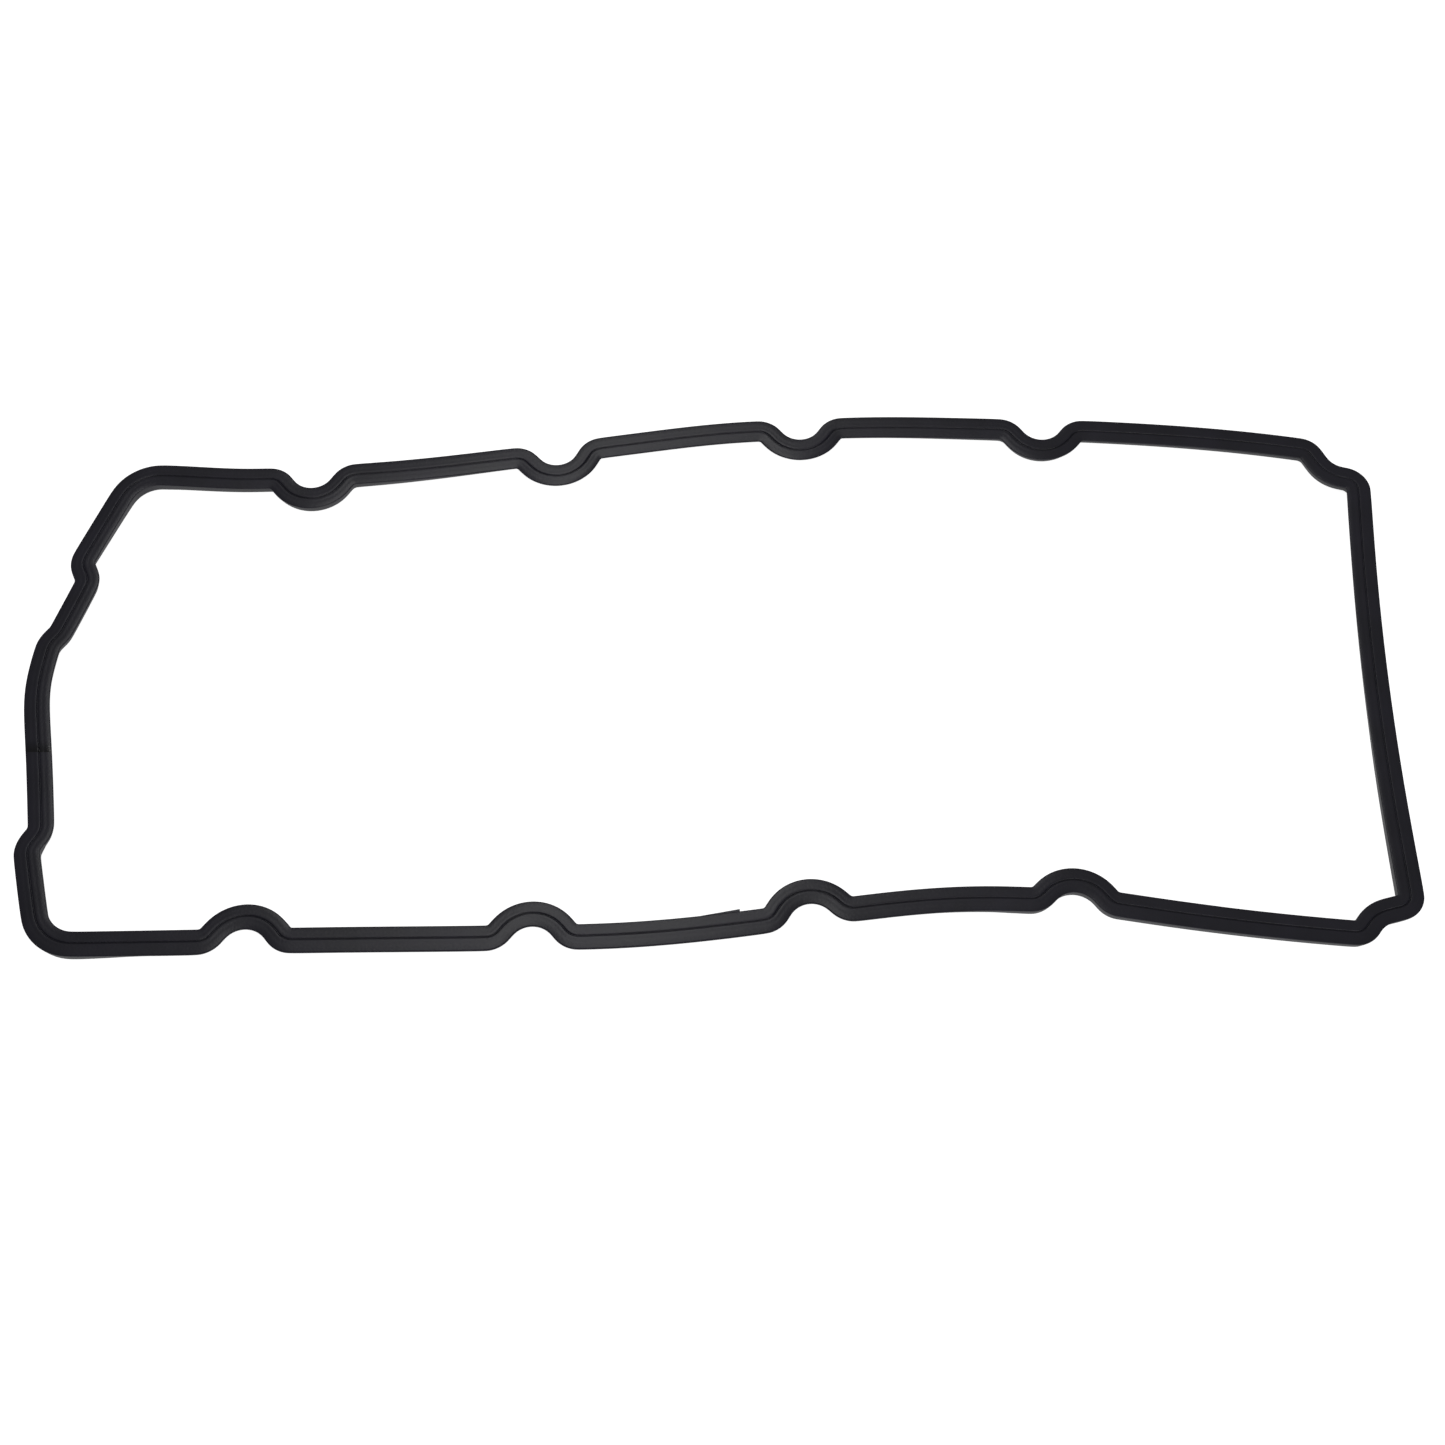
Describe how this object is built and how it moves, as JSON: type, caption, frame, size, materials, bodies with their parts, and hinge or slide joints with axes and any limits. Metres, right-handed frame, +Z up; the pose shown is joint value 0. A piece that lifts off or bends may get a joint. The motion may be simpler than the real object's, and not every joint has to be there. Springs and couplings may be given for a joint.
{
  "type": "valve cover gasket",
  "caption": "Closed loop of moulded black rubber that seals a cylinder head cover, grooved along its top, with scallops that pass round the cover bolts.",
  "frame": {"origin": "centre of the loop's bounding box, on the surface that the strand lies on", "axes": "+X along the loop's length, away from the jogged end; +Y across it; +Z up, out of the grooved face"},
  "size_m": [0.4814, 0.2132, 0.0053],
  "materials": {
    "gasket": "matt moulded black rubber"
  },
  "bodies": {
    "root": {"gasket": "gasket"}
  },
  "joints": []
}
